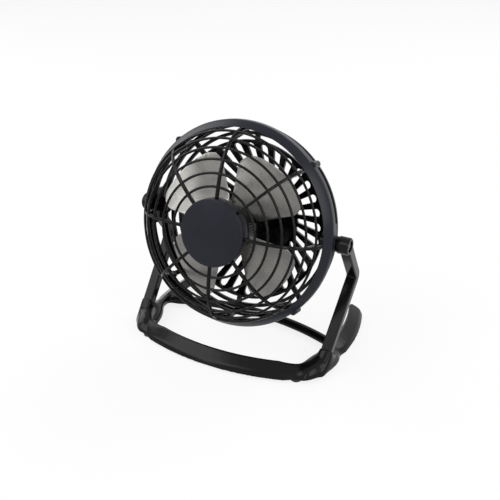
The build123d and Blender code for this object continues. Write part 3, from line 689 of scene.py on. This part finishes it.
cap = {
    "front": 44.0,
    "gap": 0.15,              # round its rim inside the boss
    "rimDepth": 2.2,
    "rimWall": 1.2,
    "round": 0.5,
    "steps": 128,
}


def makeCap():
    outer = boss["radius"] - boss["wall"] - cap["gap"]
    inner = outer - cap["rimWall"]
    seat = boss["front"]
    foot = seat - cap["rimDepth"]
    disc = profileOf("cap_disc", [
        (0, cap["front"]), (boss["radius"], cap["front"]), (boss["radius"], seat),
        (outer, seat), (outer, foot), (inner, foot), (inner, seat), (0, seat)])
    spinRound(cap["steps"])
    roundEdges(disc, cap["round"], 3)
    return disc


finishPiece(makeBezel(), "head", "slate_plastic", "front_grille")
finishPiece(makeRings(), "head", "black_plastic", "front_grille")
finishPiece(makeSpokes(), "head", "black_plastic", "front_grille")
finishPiece(makeBoss(), "head", "slate_plastic", "front_grille")
finishPiece(makeCap(), "head", "slate_plastic", "hub_cap")
print("front grille done")


# Fan: a moulded hub and four blades of pressed sheet

hub = {
    "radius": 16.5,
    "front": 25.0,
    "back": 6.0,
    "wall": 1.6,
    "frontRound": 2.0,
    "roundParts": 6,
    "edgeRound": 0.3,
    "collarRadius": 3.4,
    "collarSink": 1.0,        # the collar stops short of the hub's back
    "bore": 1.01,
    "boreEnd": 22.1,
    "steps": 96,
}


def makeHub():
    h = hub
    inner = h["radius"] - h["wall"]
    face = h["front"] - h["wall"]
    foot = h["back"] + h["collarSink"]
    turns = [math.radians(90 * n / h["roundParts"]) for n in range(h["roundParts"] + 1)]
    edge = [(
        h["radius"] - h["frontRound"] * (1 - math.sin(turn)),
        h["front"] - h["frontRound"] * (1 - math.cos(turn)),
    ) for turn in turns]
    shell = profileOf("fan_hub_shell", [(0, h["front"])] + edge + [
        (h["radius"], h["back"]), (inner, h["back"]), (inner, face), (h["collarRadius"], face),
        (h["collarRadius"], foot), (h["bore"], foot), (h["bore"], h["boreEnd"]),
        (0, h["boreEnd"])])
    spinRound(h["steps"])
    roundEdges(shell, h["edgeRound"])
    return shell


blade = {
    "count": 4,
    "heading": 52.0,          # degrees round the shaft, of the first blade
    "reach": 51.5,
    "root": 15.4,
    "halfAngle": 32.5,
    "corner": 9.0,            # radius of the two corners at the tip
    "middle": 17.0,           # height of the sheet's middle line
    "sheet": 0.8,
    "round": 0.2,
    "roundAngle": 50,
    # distance out, half width, half rise and bow of the sheet at its two ends
    "near": (11.7, 9.03, 7.577, -0.903),
    "far": (52.5, 33.545, 6.52, -3.354),
    "cell": 2.5,              # the mesh's step, so that the sheet can curve
    "rootParts": 12,
    "cornerParts": 10,
    "tipParts": 24,
}


def sheetHeight(x, y):
    # the sheet runs straight from its near section to its far one
    near, far = blade["near"], blade["far"]
    along = (x - near[0]) / (far[0] - near[0])
    half, rise, bow = [a + (b - a) * along for a, b in zip(near[1:], far[1:])]
    side = y / half
    return blade["middle"] + side * rise + bow * (1 - side * side)


def bladeOutline():
    # round the blade: a rounded corner, the tip's arc, the other corner and the root's arc
    b = blade
    lean = math.radians(b["halfAngle"])
    quarter = math.radians(90)
    reach = b["reach"] - b["corner"]
    turn = math.asin(b["corner"] / reach)   # keeps the corner's middle one radius inside the side
    cornerX, cornerY = arcPoints(reach, [lean - turn])[0]
    swings = [
        lean + quarter - (quarter + turn) * n / b["cornerParts"]
        for n in range(b["cornerParts"] + 1)]
    upper = [(cornerX + x, cornerY + y) for x, y in arcPoints(b["corner"], swings)]
    lower = [(x, -y) for x, y in upper[::-1]]
    tipHalf, rootHalf = b["tipParts"] // 2, b["rootParts"] // 2
    tip = arcPoints(b["reach"], [
        (lean - turn) * n / tipHalf for n in range(tipHalf - 1, -tipHalf, -1)])
    root = arcPoints(b["root"], [lean * n / rootHalf for n in range(-rootHalf, rootHalf + 1)])
    return [(x, y, b["middle"]) for x, y in upper + tip + lower + root + upper[:1]]


def makeBlades():
    b = blade
    outline = bladeOutline()
    sheet = startPoint("fan_blade_sheets", outline[0])
    drawThrough(outline)
    mergeAll()
    bpy.ops.mesh.edge_face_add()

    # cut into cells, then set to the sheet's heights
    for n in range(1, int(b["reach"] / b["cell"]) + 1):
        for direction in ((1, 0, 0), (0, 1, 0), (0, -1, 0)):
            bpy.ops.mesh.select_all(action="SELECT")
            place = [mm(n * b["cell"]) * value for value in direction]
            bpy.ops.mesh.bisect(plane_co=place, plane_no=[abs(value) for value in direction])
    bpy.ops.mesh.select_all(action="SELECT")
    bpy.ops.mesh.bisect(plane_co=(0, 0, 0), plane_no=(0, 1, 0))
    bpy.ops.object.mode_set(mode="OBJECT")
    for vertex in sheet.data.vertices:
        vertex.co.z = mm(sheetHeight(inMm(vertex.co.x), inMm(vertex.co.y)))
    applyModifier(sheet, "SOLIDIFY", thickness=mm(b["sheet"]), offset=0)
    roundEdges(sheet, b["round"], angle=b["roundAngle"])
    return swingRound(sheet, b["count"], b["heading"])


finishPiece(makeHub(), "rotor", "black_plastic", "fan_hub")
finishPiece(makeBlades(), "rotor", "blade_aluminium", "fan_blades")
print("fan done")
